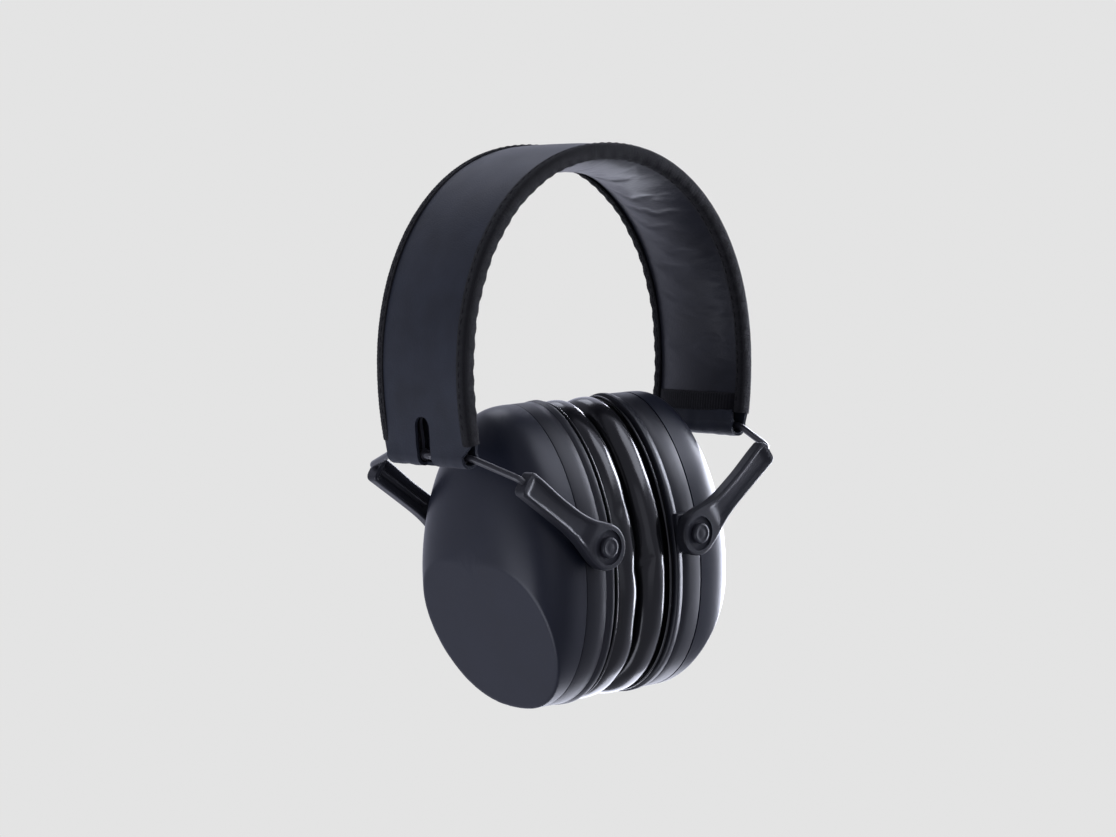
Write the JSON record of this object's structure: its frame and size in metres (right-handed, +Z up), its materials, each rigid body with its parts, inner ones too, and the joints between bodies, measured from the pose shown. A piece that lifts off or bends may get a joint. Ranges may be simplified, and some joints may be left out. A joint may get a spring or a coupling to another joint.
{
  "type": "earmuff hearing protector",
  "caption": "Folding earmuff hearing protector: padded spring headband, wire yokes that fold and slide, and two domed ear cups with soft seal cushions",
  "frame": {"origin": "the middle of the crown pad's underside, where the band rests on the top of the head", "axes": "+X through the ears to the right-hand cup, -Y to the front, +Z up"},
  "size_m": [0.1268, 0.0766, 0.179],
  "materials": {
    "outer_leatherette": "smooth matt leatherette with a fine grain",
    "inner_leatherette": "soft leatherette with a slight sheen and wrinkles",
    "binding_tape": "ribbed woven tape",
    "spring_steel": "rolled spring steel",
    "band_foam": "closed-cell foam",
    "wire_steel": "dark coated round wire",
    "arm_plastic": "moulded plastic with a fine satin texture",
    "pin_plastic": "moulded plastic pin",
    "cup_plastic": "satin moulded shell",
    "rim_plastic": "satin moulded rim",
    "plate_plastic": "black moulded plate",
    "cushion_skin": "glossy soft film with creases",
    "cushion_foam": "soft open-cell foam",
    "sound_foam": "open-cell sound-absorbing foam"
  },
  "bodies": {
    "headband": {"spring_strip": "spring_steel", "band_foam": "band_foam", "outer_cover": "outer_leatherette", "inner_cover": "inner_leatherette", "front_binding": "binding_tape", "rear_binding": "binding_tape", "left_hem": "outer_leatherette", "right_hem": "outer_leatherette", "left_hem_tape": "binding_tape", "right_hem_tape": "binding_tape"},
    "left_yoke": {"left_yoke_wire": "wire_steel"},
    "left_arms": {"left_front_arm": "arm_plastic", "left_rear_arm": "arm_plastic"},
    "left_cup": {"left_front_pin": "pin_plastic", "left_rear_pin": "pin_plastic", "left_cup_shell": "cup_plastic", "left_cup_rim": "rim_plastic", "left_seal_plate": "plate_plastic", "left_cushion_cover": "cushion_skin", "left_cushion_foam": "cushion_foam", "left_sound_foam": "sound_foam"},
    "right_yoke": {"right_yoke_wire": "wire_steel"},
    "right_arms": {"right_front_arm": "arm_plastic", "right_rear_arm": "arm_plastic"},
    "right_cup": {"right_front_pin": "pin_plastic", "right_rear_pin": "pin_plastic", "right_cup_shell": "cup_plastic", "right_cup_rim": "rim_plastic", "right_seal_plate": "plate_plastic", "right_cushion_cover": "cushion_skin", "right_cushion_foam": "cushion_foam", "right_sound_foam": "sound_foam"}
  },
  "joints": [
    {"name": "left_yoke_fold", "type": "hinge", "parent": "headband", "child": "left_yoke", "pos_m": [-0.059, 0, -0.0859], "axis": [0, 1, 0], "range_deg": [-70, 25]},
    {"name": "left_arm_slide", "type": "slide", "parent": "left_yoke", "child": "left_arms", "axis": [0.8145, 0, -0.5801], "range_m": [0, 0.011], "deforming": ["left_cushion_cover", "left_cushion_foam"]},
    {"name": "left_cup_turn", "type": "hinge", "parent": "left_arms", "child": "left_cup", "pos_m": [-0.0202, 0, -0.1161], "axis": [0, 1, 0], "range_deg": [-26, 71]},
    {"name": "right_yoke_fold", "type": "hinge", "parent": "headband", "child": "right_yoke", "pos_m": [0.059, 0, -0.0859], "axis": [0, -1, 0], "range_deg": [-70, 25]},
    {"name": "right_arm_slide", "type": "slide", "parent": "right_yoke", "child": "right_arms", "axis": [-0.8145, 0, -0.5801], "range_m": [0, 0.011], "deforming": ["right_cushion_cover", "right_cushion_foam"]},
    {"name": "right_cup_turn", "type": "hinge", "parent": "right_arms", "child": "right_cup", "pos_m": [0.0202, 0, -0.1161], "axis": [0, -1, 0], "range_deg": [-26, 71]}
  ],
  "couplings": [
    {"joint": "left_cup_turn", "follows": "left_yoke_fold", "ratio": -1},
    {"joint": "right_cup_turn", "follows": "right_yoke_fold", "ratio": -1}
  ]
}
